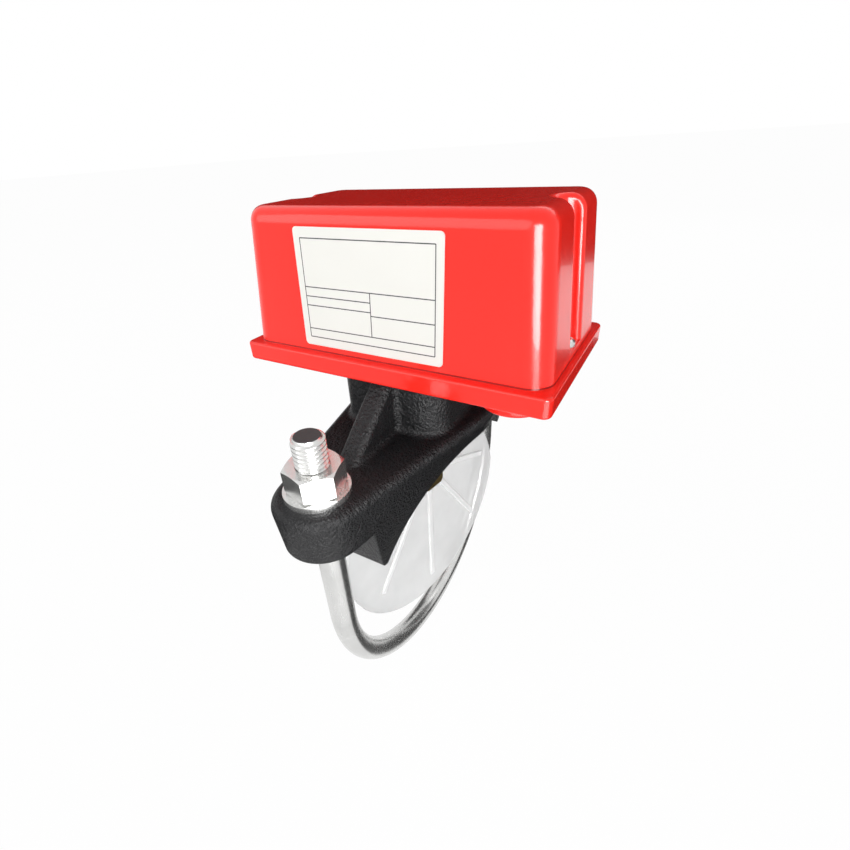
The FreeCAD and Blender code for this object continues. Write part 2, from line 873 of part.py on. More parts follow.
sleeve_foot = retard_height - sleeve_half
sleeve_top = retard_height + sleeve_half
sleeve_bore = upright(stem_radius + running_fit / 2, 0, 0, sleeve_foot - overrun, sleeve_top + overrun)
save("stem_sleeve", upright(sleeve_radius, 0, 0, sleeve_foot, sleeve_top).cut(sleeve_bore))


# Vane: thin moulded disc with ribs that fan out from its hub, cut back under the pipe's crown
def make_vane():
    disc = along_x(vane_radius, 0, vane_centre, -vane_face, vane_face)
    crown = along_x(pipe_radius - pipe_wall - vane_crown_gap, 0, -pipe_radius, -vane_face, vane_face)
    pieces = [disc.common(crown)]
    drop = rib_hub - vane_centre
    for angle in rib_angles:
        turn = math.radians(angle)
        across = drop * math.sin(turn)
        reach = drop * math.cos(turn) + math.sqrt((vane_radius - rib_margin) ** 2 - across**2)
        rib_face = vane_face + rib_height
        rib = box(-rib_face, rib_face, -rib_half, rib_half, -reach, -rib_start)
        rib = rib.makeFillet(rib_round, [edge for edge in rib.Edges if edge.BoundBox.XLength < 1e-6])
        rib.rotate(Vector(0, 0, 0), Vector(1, 0, 0), angle)
        rib.translate(Vector(0, 0, rib_hub))
        pieces.append(rib)
    holes = []
    for level in vane_screw_levels:
        holes.append(along_x(vane_screw_radius + screw_fit, 0, level, -paddle_half, paddle_half))
    return on_stem(without(joined(pieces), holes))


save("vane", make_vane())
clamp_face = -vane_face - clamp_thickness
clamp = box(clamp_face, -vane_face, -paddle_half, paddle_half, paddle_foot, stem_foot)
clamp = clamp.makeFillet(paddle_corner, edges_along_x(clamp))
vane_screws = []
for level in vane_screw_levels:
    clamp = clamp.cut(along_x(vane_screw_radius + screw_fit, 0, level, clamp_face - overrun, 0))
    tip = paddle_back + vane_screw_tip
    screw = level_screw(vane_screw_radius, vane_screw_head, vane_screw_rise, clamp_face, tip, 0, level)
    vane_screws.append(on_stem(screw))
save("vane_clamp", on_stem(clamp))
save_group("vane_screws", vane_screws)

# Switch bracket with the tab that backs the return spring
wall_top = switch_top - switch_wall_drop
foot_edge = switch_foot_y + switch_ear
bracket_pieces = [
    box(switch_back + overrun, switch_front, -bracket_half, bracket_half, floor_top, bracket_floor),
    box(switch_front - overrun, spring_tab, -spring_tab_half, spring_tab_half, floor_top, bracket_floor),
    box(
        spring_tab - sheet, spring_tab, -spring_tab_half, spring_tab_half, floor_top,
        spring_level + spring_tab_rise,
    ),
    box(
        switch_foot_x - switch_ear, switch_foot_x + switch_ear, -foot_edge, foot_edge,
        floor_top, bracket_floor,
    ),
]
for side in (-1, 1):
    near, far = sorted((side * switch_outer, side * bracket_half))
    bracket_pieces.append(
        box(switch_back + switch_wall_inset, switch_front - switch_wall_inset, near, far, floor_top, wall_top)
    )
through_places = (
    (switch_back + through_inset, wall_top - through_drop),
    (switch_front - through_inset, terminal_foot + through_drop),
)
bracket_cuts = []
for x, y in bracket_screw_places:
    bracket_cuts.append(
        upright(bracket_screw_radius + screw_fit, x, y, floor_top - overrun, bracket_floor + overrun)
    )
through_cuts = []
for x, z in through_places:
    through_cuts.append(
        along_y(through_radius + screw_fit, x, z, -bracket_half - overrun, bracket_half + overrun)
    )
save("switch_bracket", without(joined(bracket_pieces), bracket_cuts + through_cuts))
return_spring_length = -pad_depth - spring_tab
return_spring = coil(
    return_spring_radius, return_spring_wire, return_spring_length, return_spring_turns,
    spring_tab, spring_level,
)
save("return_spring", return_spring)

# Snap switches with hinged levers, buttons and screw terminals
hinge_x = switch_front + hinge_reach
hinge_level = bracket_floor + hinge_lift
lever_face = hinge_x + lever_set
lever_back = lever_face - lever_thickness
button_level = hinge_level + button_lift
button_start = switch_front - button_root
terminal_end = switch_back - terminal_depth
terminal_seat = terminal_top - terminal_step
terminal_screw_x = (switch_back - terminal_back + terminal_end) / 2
hinge_half = lever_half + hinge_ear_gap + hinge_ear
lever_pins = []
terminal_screws = []
for name, side in (("a", -1), ("b", 1)):
    middle = side * (switch_inner + switch_width / 2)
    near, far = sorted((side * switch_inner, side * switch_outer))
    case = box(switch_back, switch_front, near, far, bracket_floor, switch_top)
    case = case.makeFillet(switch_round, [edge for edge in case.Edges if edge.BoundBox.YLength > 1])
    case_pieces = [case]
    for edge in (-1, 1):
        inside, outside = sorted((middle + edge * (lever_half + hinge_ear_gap), middle + edge * hinge_half))
        case_pieces.append(
            box(
                switch_front - overrun, hinge_x + hinge_ear_tip, inside, outside,
                hinge_level - hinge_ear_half, hinge_level + hinge_ear_half,
            )
        )
    case_cuts = [
        along_y(hinge_radius + running_fit / 2, hinge_x, hinge_level, near, far),
        along_x(
            button_radius + running_fit, middle, button_level,
            button_start - button_pocket, switch_front + overrun,
        ),
    ]
    save("switch_body_" + name, without(joined(case_pieces), case_cuts + through_cuts))

    lever_pins.append(along_y(hinge_radius, hinge_x, hinge_level, middle - hinge_half, middle + hinge_half))
    arm = box(lever_back, lever_face, middle - lever_half, middle + lever_half, hinge_level, lever_top)
    knuckle = along_y(knuckle_radius, hinge_x, hinge_level, middle - lever_half, middle + lever_half)
    lever_hole = along_y(hinge_radius + running_fit, hinge_x, hinge_level, near, far)
    save("switch_lever_" + name, joined([arm, knuckle]).cut(lever_hole))
    button = along_x(button_radius, middle, button_level, button_start, lever_back - button_gap)
    save("switch_button_" + name, button)

    block = box(terminal_end, switch_back, near, far, terminal_foot, terminal_top)
    block_cuts = []
    for place in (-1, 0, 1):
        y = middle + place * switch_width / 3
        block_cuts.append(
            box(
                terminal_end - overrun, switch_back - terminal_back, y - terminal_slot_half,
                y + terminal_slot_half, terminal_seat, terminal_top + overrun,
            )
        )
        block_cuts.append(
            upright(
                terminal_screw_radius + screw_fit, terminal_screw_x, y, terminal_foot + overrun, terminal_top
            )
        )
        terminal_screws.append(
            pan_screw(
                terminal_screw_radius, terminal_screw_head, terminal_screw_rise, terminal_seat,
                terminal_foot + 2 * overrun, terminal_screw_x, y,
            )
        )
    save("terminal_block_" + name, without(block, block_cuts))
save_group("lever_pins", lever_pins)
save_group("terminal_screws", terminal_screws)

# Screws and nuts through both switches, and the sheet between them
through_screws = []
for x, z in through_places:
    shank = along_y(through_radius, x, z, -bracket_half, bracket_half + through_tail)
    head = along_y(through_head, x, z, -bracket_half - through_rise, -bracket_half)
    nut = hexagon(through_nut_flats, 0, through_nut_height, 0, 0)
    nut.rotate(Vector(0, 0, 0), Vector(1, 0, 0), -90)
    nut.translate(Vector(x, bracket_half, z))
    through_screws.append(joined([shank, head, nut]))
save_group("switch_screws", through_screws)
barrier = box(
    switch_back - barrier_reach, switch_front, -switch_inner, switch_inner, bracket_floor,
    switch_top + barrier_rise,
)
save("insulating_barrier", without(barrier, through_cuts))

# Pneumatic retard on its bracket, with end cap and screws
stand_face = retard_face - sheet
stand_top = retard_height + stand_rise
stand = joined([
    box(stand_face, retard_face, -retard_radius, retard_radius, floor_top, stand_top),
    box(stand_face, retard_face + stand_foot, -stand_half, stand_half, floor_top, bracket_floor),
])
stand_corners = [edge for edge in edges_along_x(stand) if edge.BoundBox.ZMin > retard_height]
stand_corners = [edge for edge in stand_corners if abs(edge.BoundBox.YMin) > stand_half]
stand = stand.makeFillet(stand_corner, stand_corners)
plunger_hole = along_x(
    plunger_radius + stand_bore_room, 0, retard_height, stand_face - overrun, retard_face + overrun
)
stand = without(stand, bracket_cuts + [plunger_hole])
chamber_start = retard_face + retard_front_wall
barrel_profile = (
    (retard_face, plunger_radius + running_fit),
    (retard_face, retard_radius - retard_nose),
    (retard_face + retard_nose_length, retard_radius - retard_nose),
    (retard_face + retard_nose_length + retard_nose, retard_radius),
    (retard_end, retard_radius),
    (retard_end, chamber_radius),
    (chamber_start, chamber_radius),
    (chamber_start, plunger_radius + running_fit),
)
dial_seat = retard_height + retard_radius + dial_rise
shaft_foot = retard_height + chamber_radius + dial_shaft_floor
boss = upright(dial_boss, dial_x, 0, retard_height + chamber_radius + overrun, dial_seat)
retard = joined([turned_x(barrel_profile, 0, retard_height), boss])
shaft_hole_floor = shaft_foot - retard_screw_room
retard = retard.cut(upright(dial_shaft + running_fit, dial_x, 0, shaft_hole_floor, dial_seat + overrun))
retard_screws = []
screw_tip = stand_face + retard_screw_length
for y in (-retard_screw_pitch, retard_screw_pitch):
    for level in (retard_height - retard_screw_pitch, retard_height + retard_screw_pitch):
        hole = along_x(
            retard_screw_radius + screw_fit, y, level, stand_face - overrun, screw_tip + retard_screw_room
        )
        stand = stand.cut(hole)
        retard = retard.cut(hole)
        retard_screws.append(
            level_screw(
                retard_screw_radius, retard_screw_head, retard_screw_rise, stand_face, screw_tip, y, level
            )
        )
save("retard_bracket", stand)
save("retard_body", retard)
save_group("retard_screws", retard_screws)
cap_end = retard_end + cap_thickness
cap_profile = (
    (retard_end, 0),
    (retard_end, retard_radius),
    (cap_end - cap_chamfer, retard_radius),
    (cap_end, retard_radius - cap_chamfer),
    (cap_end, 0),
)
save("retard_cap", turned_x(cap_profile, 0, retard_height))

# Plunger with its piston, and the spring behind the piston
plunger_tip = sleeve_radius + gap
head_end = plunger_tip + plunger_head_length
piston_back = retard_end - retard_spring_length
piston_start = piston_back - piston_thickness
piston_radius = chamber_radius - gap
plunger_profile = (
    (plunger_tip, 0),
    (plunger_tip, plunger_head - plunger_chamfer),
    (plunger_tip + plunger_chamfer, plunger_head),
    (head_end, plunger_head),
    (head_end, plunger_radius),
    (piston_start, plunger_radius),
    (piston_start, piston_radius),
    (piston_back, piston_radius),
    (piston_back, 0),
)
save("retard_plunger", turned_x(plunger_profile, 0, retard_height))
retard_spring = coil(
    retard_spring_radius, retard_spring_wire, retard_spring_length, retard_spring_turns,
    piston_back, retard_height,
)
save("retard_spring", retard_spring)

# Setting dial: fluted knob with a raised pointer
dial_top = dial_seat + dial_height
knob_profile = (
    (0, shaft_foot),
    (dial_shaft, shaft_foot),
    (dial_shaft, dial_seat),
    (dial_radius, dial_seat),
    (dial_radius, dial_top - dial_chamfer),
    (dial_radius - dial_chamfer, dial_top),
    (0, dial_top),
)
flutes = []
for step in range(dial_flutes):
    angle = 2 * math.pi * step / dial_flutes
    reach = dial_radius + dial_flute_reach
    flutes.append(
        upright(
            dial_flute_radius, dial_x + reach * math.cos(angle), reach * math.sin(angle),
            dial_seat - overrun, dial_top + overrun,
        )
    )
knob = without(turned_z(knob_profile, dial_x, 0), flutes)
pointer_reach = dial_radius - pointer_inset
pointer = box(
    dial_x - pointer_reach, dial_x + pointer_reach, -pointer_half, pointer_half,
    dial_top - dial_chamfer, dial_top + pointer_height,
)
save("retard_dial", joined([knob, pointer]))

# Trip yoke on the plunger, reaching round the stem to the switch levers
bar_face = lever_face + yoke_reach
bar_top = lever_top - yoke_bar_setback
bar_foot = bar_top - yoke_bar_height
yoke_back = yoke_plate + sheet
yoke_pieces = [
    box(yoke_plate, yoke_back, -yoke_half, yoke_half, retard_height - yoke_drop, bar_top),
    box(bar_face, bar_face + yoke_bar, -yoke_half, yoke_half, bar_foot, bar_top),
]
for side in (-1, 1):
    near, far = sorted((side * (yoke_half - yoke_arm), side * yoke_half))
    yoke_pieces.append(box(bar_face, yoke_back, near, far, bar_foot, bar_top))
yoke_hole = along_x(plunger_radius, 0, retard_height, yoke_plate - overrun, yoke_back + overrun)
save("trip_yoke", joined(yoke_pieces).cut(yoke_hole))

# Screws that hold the brackets, and the ground screw
bracket_screws = []
for x, y in bracket_screw_places:
    bracket_screws.append(
        pan_screw(
            bracket_screw_radius, bracket_screw_head, bracket_screw_rise, bracket_floor, neck_height, x, y
        )
    )
save_group("bracket_screws", bracket_screws)
collar_top = floor_top + ground_collar
ground_pieces = [
    hexagon(ground_flats, collar_top, floor_top + ground_rise, ground_x, ground_y),
    upright(ground_collar_radius, ground_x, ground_y, floor_top, collar_top),
    upright(bracket_screw_radius, ground_x, ground_y, neck_height + gap, collar_top),
]
save("ground_screw", joined(ground_pieces))
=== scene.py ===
import math

import bpy
from mathutils import Matrix, Vector


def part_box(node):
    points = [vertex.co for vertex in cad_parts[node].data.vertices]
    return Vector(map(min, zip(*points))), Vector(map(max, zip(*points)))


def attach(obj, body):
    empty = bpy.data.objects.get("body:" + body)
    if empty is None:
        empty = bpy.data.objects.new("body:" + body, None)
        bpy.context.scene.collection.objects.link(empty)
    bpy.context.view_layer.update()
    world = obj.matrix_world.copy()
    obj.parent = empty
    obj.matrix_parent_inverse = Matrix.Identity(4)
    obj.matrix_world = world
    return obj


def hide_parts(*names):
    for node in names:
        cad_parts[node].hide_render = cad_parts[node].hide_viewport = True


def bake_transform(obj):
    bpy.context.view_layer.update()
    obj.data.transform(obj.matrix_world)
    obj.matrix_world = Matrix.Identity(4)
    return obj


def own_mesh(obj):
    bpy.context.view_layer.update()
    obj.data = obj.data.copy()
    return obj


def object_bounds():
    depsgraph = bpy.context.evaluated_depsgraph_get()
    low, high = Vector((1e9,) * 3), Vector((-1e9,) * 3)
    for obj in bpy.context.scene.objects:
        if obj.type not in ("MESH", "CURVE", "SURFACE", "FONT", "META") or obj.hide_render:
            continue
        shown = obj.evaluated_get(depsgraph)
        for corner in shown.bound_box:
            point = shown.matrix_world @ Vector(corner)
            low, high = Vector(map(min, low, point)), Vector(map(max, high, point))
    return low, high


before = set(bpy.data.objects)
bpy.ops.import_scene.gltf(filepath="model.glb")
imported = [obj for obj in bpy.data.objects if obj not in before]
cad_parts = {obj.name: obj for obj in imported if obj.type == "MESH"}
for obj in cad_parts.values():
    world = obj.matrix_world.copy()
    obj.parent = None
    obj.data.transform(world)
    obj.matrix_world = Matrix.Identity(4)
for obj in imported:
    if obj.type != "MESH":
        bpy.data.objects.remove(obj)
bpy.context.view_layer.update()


# Saddle casting, the part that sits on the pipe.
# Sand-cast iron in satin black paint, so the skin is pitted and grainy.
# The neck, webs and ears come out of the mould in one piece.
class Value:
    """A shader socket that can stand in a sum."""

    def __init__(self, tree, socket):
        self.tree = tree
        self.socket = socket

    def maths(self, operation, first, second=0.0):
        """A Math node on two sockets or numbers."""
        node = self.tree.nodes.new("ShaderNodeMath")
        node.operation = operation
        for slot, item in zip(node.inputs, (first, second)):
            if isinstance(item, Value):
                self.tree.links.new(item.socket, slot)
            else:
                slot.default_value = item
        return Value(self.tree, node.outputs[0])

    def __add__(self, other):
        return self.maths("ADD", self, other)

    def __sub__(self, other):
        return self.maths("SUBTRACT", self, other)

    def __rsub__(self, other):
        return self.maths("SUBTRACT", other, self)

    def __mul__(self, other):
        return self.maths("MULTIPLY", self, other)

    def __gt__(self, other):
        return self.maths("GREATER_THAN", self, other)

    def __lt__(self, other):
        return self.maths("LESS_THAN", self, other)

    def __abs__(self):
        return self.maths("ABSOLUTE", self)

    __radd__ = __add__
    __rmul__ = __mul__


class Nodes:
    """A tree of shader nodes and the way that nodes are added to it."""

    def __init__(self, tree):
        self.tree = tree

    def node(self, kind, settings=(), sockets=(), output=0):
        """A node of one kind, with its settings first and then its sockets' values or links."""
        node = self.tree.nodes.new("ShaderNode" + kind)
        for key, setting in dict(settings).items():
            setattr(node, key, setting)
        self.fill(node, sockets)
        return Value(self.tree, node.outputs[output])

    def fill(self, node, sockets):
        """Sets or links the named sockets of a node."""
        for key, item in dict(sockets).items():
            slot = node.inputs[key]
            if isinstance(item, Value):
                self.tree.links.new(item.socket, slot)
            elif slot.type == "RGBA":
                slot.default_value = (*item, 1.0)
            else:
                slot.default_value = item


class Finish(Nodes):
    """One material of the detector and the nodes that make it."""

    def __init__(self, name):
        self.material = bpy.data.materials.new(name)
        self.material.use_nodes = True
        super().__init__(self.material.node_tree)
        self.shader = self.tree.nodes["Principled BSDF"]
        self.place = self.node("TexCoord", output="Object")

    def surface(self, **sockets):
        """Sets the shader's own sockets, with words joined by underscores."""
        self.fill(self.shader, {key.replace("_", " "): item for key, item in sockets.items()})

    def noise(self, scale, detail=3.0, rough=0.5, stretch=None):
        """Cloudy pattern with features about one part in scale of a metre.

        It is drawn out along the axes where stretch is below one.
        """
        place = self.place
        if stretch:
            place = self.node("Mapping", sockets={"Vector": place, "Scale": stretch})
        sockets = {"Vector": place, "Scale": scale, "Detail": detail, "Roughness": rough}
        return self.node("TexNoise", sockets=sockets, output="Fac")

    def along(self, axis):
        """Place of a point along one axis, in metres."""
        return self.node("SeparateXYZ", sockets={"Vector": self.place}, output=axis)

    def blend(self, share, low, high):
        """Colour that goes from low to high with a share."""
        return self.node("Mix", {"data_type": "RGBA"}, {0: share, 6: low, 7: high}, output=2)

    def between(self, share, low, high):
        """Number that goes from low to high with a share, held inside them."""
        sockets = {"Value": share, "To Min": low, "To Max": high}
        return self.node("MapRange", sockets=sockets, output="Result")

    def relief(self, height, depth, strength, normal=None):
        """Bump of one depth in metres, fed to the shader."""
        sockets = {"Height": height, "Distance": depth, "Strength": strength}
        if normal is not None:
            sockets["Normal"] = normal
        self.surface(Normal=self.node("Bump", sockets=sockets, output="Normal"))


def dress(finish, *names):
    """Gives CAD nodes a finish."""
    for name in names:
        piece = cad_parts[name]
        if not piece.material_slots:
            piece.data.materials.append(finish.material)
        piece.material_slots[0].material = finish.material


cast_edge = 0.0016
cast_relief = 0.0018
casting = Finish("black_cast_iron")
sand_grain = casting.noise(750.0, 4.0, 0.6)
sand_lumps = casting.noise(190.0, 3.0, 0.55)
casting.surface(
    Base_Color=casting.blend(
        casting.between(sand_lumps, 0.0, 1.0), (0.005, 0.005, 0.006), (0.015, 0.015, 0.016)
    ),
    Roughness=casting.between(sand_grain, 0.26, 0.42),
    Specular_IOR_Level=0.23,
)
casting_edges = casting.node("Bevel", {"samples": 6}, {"Radius": cast_edge}, output="Normal")
casting.relief(sand_grain * 0.75 + sand_lumps * 0.5, cast_relief, 0.8, casting_edges)
dress(casting, "saddle")

# Pipe gasket in the recess of the pipe seat, and cover gasket on the rim of the base.
# Moulded rubber, dull black with a fine grain, pressed between the pieces that it seals.
rubber = Finish("moulded_rubber")
rubber_grain = rubber.noise(1500.0, 2.0)
rubber.surface(
    Base_Color=rubber.blend(rubber.noise(120.0), (0.016, 0.016, 0.017), (0.034, 0.033, 0.032)),
    Roughness=rubber.between(rubber_grain, 0.62, 0.82),
    Specular_IOR_Level=0.3,
)
rubber.relief(rubber_grain, 0.0002, 0.4)
dress(rubber, "pipe_gasket", "cover_gasket")

# U-bolt that clamps the saddle to the pipe.
# Drawn steel rod bent hot, threads rolled on both ends, then bright zinc plated.
# Rolling pushes the crests of the thread out past the rod. The sawn ends are dull, and their
# near-black colour is painted shade on the upward end faces.
rod_radius = 0.0063
crest_radius = 0.0069
root_radius = 0.0059
leg_distance = 0.091
bend_level = -0.067
bolt_top = 0.038
thread_length = 0.052
thread_pitch = 0.002
thread_runout = 0.0004
ridge_sink = 0.0001
end_chamfer = 0.0012
end_narrowing = end_chamfer * 0.6
end_reach = 0.01
sawn_depth = 0.0003
rod_sides = 40
bend_steps = 64
turn_steps = 36

zinc = Finish("bright_zinc_plate")
zinc_cloud = zinc.noise(60.0, 3.0, 0.6)
zinc_streak = zinc.noise(900.0, 2.0, stretch=(1.0, 1.0, 0.08))
at_leg = abs(zinc.along("Y")) > leg_distance - end_reach
end_dull_and_shaded = at_leg * (zinc.along("Z") > bolt_top - sawn_depth)
plate_colour = zinc.blend(zinc_cloud, (0.56, 0.56, 0.55), (0.76, 0.76, 0.75))
plate_rough = zinc.between(zinc_streak * 0.5 + zinc_cloud * 0.5, 0.18, 0.34)
zinc.surface(
    # Painted shade: the end faces of the legs are coloured near-black, and made dull.
    Base_Color=zinc.blend(end_dull_and_shaded, plate_colour, (0.035, 0.035, 0.036)),
    Metallic=0.92 - end_dull_and_shaded * 0.8,
    Roughness=plate_rough + end_dull_and_shaded * 0.4,
)
zinc.relief(zinc_streak, 0.00005, 0.2)


def start_fresh():
    """Leaves every object unselected, so an operator acts on the new piece alone."""
    if bpy.context.mode != "OBJECT":
        bpy.ops.object.mode_set(mode="OBJECT")
    bpy.ops.object.select_all(action="DESELECT")


def settle(piece, name, finish, body):
    """Names a finished piece, puts its place into its mesh and gives it its finish.

    It rides on its body, if it has one body alone.
    """
    start_fresh()
    piece.select_set(True)
    bpy.context.view_layer.objects.active = piece
    bpy.ops.object.transform_apply(location=True, rotation=True, scale=True)
    bpy.ops.object.mode_set(mode="EDIT")
    bpy.ops.mesh.select_all(action="SELECT")
    bpy.ops.mesh.remove_doubles(threshold=1e-6)
    bpy.ops.mesh.normals_make_consistent(inside=False)
    bpy.ops.object.mode_set(mode="OBJECT")
    bpy.ops.object.shade_smooth_by_angle(angle=math.radians(40))
    piece.name = name
    piece.data.name = name
    piece.data.materials.clear()
    piece.data.materials.append(finish.material)
    if body:
        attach(piece, body)
    return piece


def joined(first, *others):
    """One piece out of several, named after the first."""
    bpy.context.view_layer.update()
    start_fresh()
    for piece in (first, *others):
        piece.select_set(True)
    bpy.context.view_layer.objects.active = first
    bpy.ops.object.join()
    return first


def select_verts(piece, test):
    """Selects the points of a mesh that pass a test on their place, in edit mode."""
    bpy.ops.object.mode_set(mode="OBJECT")
    for point in piece.data.vertices:
        point.select = test(point.co)
    for edge in piece.data.edges:
        edge.select = all(piece.data.vertices[index].select for index in edge.vertices)
    for face in piece.data.polygons:
        face.select = all(piece.data.vertices[index].select for index in face.vertices)
    bpy.ops.object.mode_set(mode="EDIT")


def push(distance):
    """Extrudes what is selected straight up by a distance."""
    bpy.ops.mesh.extrude_region_move(TRANSFORM_OT_translate={"value": (0.0, 0.0, distance)})


def shrink_ring(radius_from, radius_to):
    """Scales the selected ring about its own middle."""
    share = radius_to / radius_from
    bpy.ops.transform.resize(value=(share, share, 1.0))


def thread_ridge(radius_root, radius_crest, pitch, foot, top, y):
    """Rolled thread on an upright rod: one ridge turned up along the axis and cut off square."""
    half_root = 0.48 * pitch
    half_crest = 0.08 * pitch
    profile = (
        (radius_root, -half_root),
        (radius_crest, -half_crest),
        (radius_crest, half_crest),
        (radius_root, half_root),
    )
    start_fresh()
    bpy.ops.mesh.primitive_plane_add(size=1.0)
    ridge = bpy.context.object
    bpy.ops.object.mode_set(mode="EDIT")
    bpy.ops.mesh.select_all(action="SELECT")
    bpy.ops.mesh.delete(type="ONLY_FACE")
    bpy.ops.object.mode_set(mode="OBJECT")
    corners = sorted(ridge.data.vertices, key=lambda point: math.atan2(point.co.y, point.co.x))
    for point, (radius, rise) in zip(corners, profile):
        point.co = (radius, 0.0, foot + rise)
    turns = ridge.modifiers.new("turns", "SCREW")
    turns.axis = "Z"
    turns.screw_offset = pitch
    turns.iterations = int((top - foot) / pitch) + 1
    turns.steps = turn_steps
    turns.render_steps = turn_steps
    turns.use_merge_vertices = True
    bpy.ops.object.modifier_apply(modifier=turns.name)
    bpy.ops.object.mode_set(mode="EDIT")
    bpy.ops.mesh.select_all(action="SELECT")
    bpy.ops.mesh.bisect(
        plane_co=(0.0, 0.0, top), plane_no=(0.0, 0.0, 1.0), clear_outer=True, use_fill=True
    )
    bpy.ops.object.mode_set(mode="OBJECT")
    ridge.location = (0.0, y, 0.0)
    return ridge


start_fresh()
bpy.ops.mesh.primitive_circle_add(
    vertices=rod_sides, radius=rod_radius, location=(0.0, leg_distance, bend_level)
)
ubolt = bpy.context.object
bpy.ops.object.transform_apply(location=True)
bpy.ops.object.mode_set(mode="EDIT")
bpy.ops.mesh.select_mode(type="VERT")
bpy.ops.mesh.select_all(action="SELECT")
bpy.ops.mesh.spin(
    steps=bend_steps, angle=math.pi, center=(0.0, 0.0, bend_level), axis=(1.0, 0.0, 0.0)
)
for side in (-1, 1):
    select_verts(ubolt, lambda place: abs(place.z - bend_level) < 1e-6 and place.y * side > 0)
    push(bolt_top - thread_length - bend_level)
    push(thread_runout)
    shrink_ring(rod_radius, root_radius)
    push(thread_length - thread_runout - end_chamfer)
    push(end_chamfer)
    shrink_ring(root_radius, root_radius - end_narrowing)
    bpy.ops.mesh.edge_face_add()
bpy.ops.object.mode_set(mode="OBJECT")

thread_foot = bolt_top - thread_length + thread_pitch
thread_top = bolt_top - end_chamfer
ridges = [
    thread_ridge(
        root_radius - ridge_sink, crest_radius, thread_pitch,
        thread_foot, thread_top, side * leg_distance,
    )
    for side in (-1, 1)
]
settle(joined(ubolt, *ridges), "threaded_ubolt", zinc, "ubolt")
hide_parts("ubolt")

# Plain washers and hexagon nuts on the two ears.
# Cold-formed steel with the same bright plate as the U-bolt.
dress(zinc, "ubolt_washers", "ubolt_nuts")

# Pivot bracket and seal retainer inside the neck, trip stem and the clamp of the vane.
# Turned and milled brass, with fine tool marks round the axis.
brass = Finish("turned_brass")
brass_rings = brass.noise(1400.0, 2.0, stretch=(0.1, 0.1, 1.0))
brass.surface(
    Base_Color=brass.blend(brass.noise(80.0), (0.56, 0.40, 0.15), (0.78, 0.60, 0.28)),
    Metallic=1.0,
    Roughness=brass.between(brass_rings, 0.22, 0.42),
)
brass.relief(brass_rings, 0.00008, 0.4)
dress(brass, "pivot_bracket", "seal_retainer", "trip_stem", "vane_clamp")

# Pivot pin of the stem and hinge pins of the switch levers.
# Plain steel rod, ground and pressed into what carries it.
steel = Finish("plain_steel")
steel_grain = steel.noise(700.0, 3.0)
steel.surface(
    Base_Color=steel.blend(steel.noise(90.0), (0.42, 0.42, 0.43), (0.62, 0.62, 0.62)),
    Metallic=1.0,
    Roughness=steel.between(steel_grain, 0.24, 0.44),
)
steel.relief(steel_grain, 0.00006, 0.3)
dress(steel, "pivot_pin", "lever_pins")

# Stem seal, a folded diaphragm that the retainer clamps in the neck.
# It is moulded from the same rubber as the gaskets.
# Its lip grips the stem and goes with it, and its rim stays. In the real seal the fold between
# them gives; here it is a fixed ring.
seal_low, seal_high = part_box("stem_seal")
rim_radius = seal_high.x
rim_foot = seal_low.z
rim_top = rim_foot + 0.0025
lip_top = seal_high.z
fold_foot = lip_top - 0.003
fold_top = fold_foot + 0.0015
lip_bore = 0.0032
lip_grip = 0.0031
fold_inside = 0.0065
fold_root = 0.0055
seal_sides = 56


def turned_ring(profile):
    """Ring turned about Z from a closed profile of radii and levels."""
    start_fresh()
    radius, level = profile[0]
    bpy.ops.mesh.primitive_circle_add(
        vertices=seal_sides, radius=radius, location=(0.0, 0.0, level)
    )
    ring = bpy.context.object
    bpy.ops.object.transform_apply(location=True)
    bpy.ops.object.mode_set(mode="EDIT")
    bpy.ops.mesh.select_mode(type="VERT")
    bpy.ops.mesh.select_all(action="SELECT")
    for next_radius, next_level in profile[1:] + profile[:1]:
        push(next_level - level)
        shrink_ring(radius, next_radius)
        radius, level = next_radius, next_level
    bpy.ops.object.mode_set(mode="OBJECT")
    return ring


seal_lip = turned_ring([
    (lip_bore, rim_foot),
    (0.0050, rim_foot),
    (0.0057, rim_foot + 0.0014),
    (fold_inside, fold_foot),
    (0.0060, fold_foot + 0.0010),
    (fold_root, fold_top),
    (0.0045, lip_top),
    (lip_bore, lip_top),
    (lip_grip, fold_foot),
])
settle(seal_lip, "seal_lip", rubber, "vane")
seal_fold = turned_ring([
    (fold_inside, fold_foot),
    (0.0075, fold_foot + 0.0003),
    (0.0085, fold_foot),
    (0.0094, rim_foot + 0.002),
    (0.0105, rim_foot),
    (rim_radius, rim_foot),
    (rim_radius, rim_top),
    (0.0115, rim_top),
    (0.0106, rim_foot + 0.0035),
    (0.0097, fold_foot + 0.0012),
    (0.0086, fold_top),
    (0.0070, fold_foot + 0.0016),
    (fold_root, fold_top),
])
settle(seal_fold, "seal_fold", rubber, None)
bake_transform(seal_fold)
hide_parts("stem_seal")

# Contact sleeve on the stem, retard plunger and switch buttons.
# Acetal mouldings, smooth and a little waxy, that run dry against metal.
acetal_shade = (0.74, 0.73, 0.68)
acetal_white = (0.84, 0.83, 0.79)
acetal = Finish("white_acetal")
acetal_grain = acetal.noise(1100.0)
acetal.surface(
    Base_Color=acetal.blend(acetal.noise(150.0), acetal_shade, acetal_white),
    Roughness=acetal.between(acetal_grain, 0.32, 0.46),
    Subsurface_Weight=0.15,
    Subsurface_Radius=(0.002, 0.002, 0.0018),
)
acetal.relief(acetal_grain, 0.00004, 0.3)
dress(acetal, "stem_sleeve", "retard_plunger", "switch_button_a", "switch_button_b")
